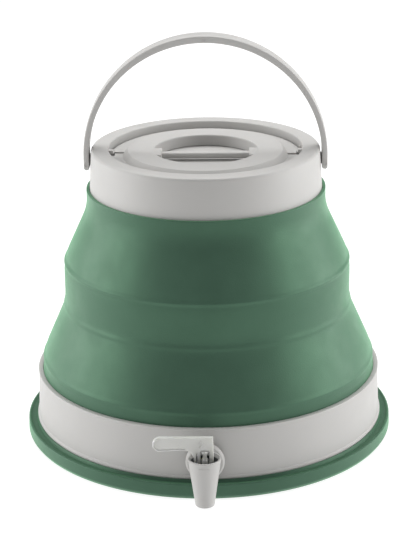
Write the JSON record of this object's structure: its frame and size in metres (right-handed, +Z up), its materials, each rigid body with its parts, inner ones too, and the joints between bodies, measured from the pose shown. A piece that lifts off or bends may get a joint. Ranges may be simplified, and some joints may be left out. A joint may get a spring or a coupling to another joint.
{
  "type": "folding water carrier",
  "caption": "Folding water carrier: wide base with a turn tap, soft stepped wall that collapses, hard collar with a twist-off lid and a bail handle.",
  "frame": {"origin": "on the ground under the middle of the base, on the pad's flat face", "axes": "+Z up along the carrier's axis, tap towards -Y, handle pivots along X"},
  "size_m": [0.285, 0.3108, 0.3128],
  "materials": {
    "white_plastic": "satin, warm light grey",
    "lever_plastic": "satin, slightly translucent light grey",
    "green_rubber": "matte, fine grain",
    "dark_rubber": "matte",
    "dark_plastic": "satin, near black"
  },
  "bodies": {
    "base": {"foot_ring": "green_rubber", "base_shell": "white_plastic", "wall_lower_band": "green_rubber", "wall_lower_cone": "green_rubber", "tap_body": "white_plastic", "tap_outer_washer": "dark_rubber", "tap_inner_washer": "dark_rubber", "tap_nut": "white_plastic"},
    "middle": {"wall_middle_band": "green_rubber", "wall_upper_cone": "green_rubber"},
    "collar": {"collar": "white_plastic", "wall_upper_band": "green_rubber", "handle_pivot_pin_left": "white_plastic", "handle_pivot_pin_right": "white_plastic"},
    "handle": {"handle": "white_plastic"},
    "lid_seal": {"lid_gasket": "dark_rubber"},
    "lid": {"lid_top": "white_plastic", "lid_plug": "white_plastic"},
    "tap_valve": {"tap_rotor": "dark_plastic", "tap_upper_o_ring": "dark_rubber", "tap_lower_o_ring": "dark_rubber", "tap_lever": "lever_plastic", "tap_stem": "lever_plastic"}
  },
  "joints": [
    {"name": "lower_fold", "type": "slide", "parent": "base", "child": "middle", "axis": [0, 0, -1], "range_m": [0, 0.086], "deforming": ["wall_lower_cone"]},
    {"name": "upper_fold", "type": "slide", "parent": "middle", "child": "collar", "axis": [0, 0, -1], "range_m": [0, 0.082], "deforming": ["wall_upper_cone"]},
    {"name": "handle_swing", "type": "hinge", "parent": "collar", "child": "handle", "pos_m": [0, 0, 0.2167], "axis": [1, 0, 0], "range_deg": [-92, 92]},
    {"name": "lid_lift", "type": "slide", "parent": "collar", "child": "lid_seal", "axis": [0, 0, 1], "range_m": [0, 0.04]},
    {"name": "lid_twist", "type": "hinge", "parent": "lid_seal", "child": "lid", "pos_m": [0, 0, 0.2179], "axis": [0, 0, 1], "range_deg": [-20, 0]},
    {"name": "tap_turn", "type": "hinge", "parent": "base", "child": "tap_valve", "pos_m": [0, -0.156, 0.0286], "axis": [0, 0, 1], "range_deg": [0, 90]}
  ]
}
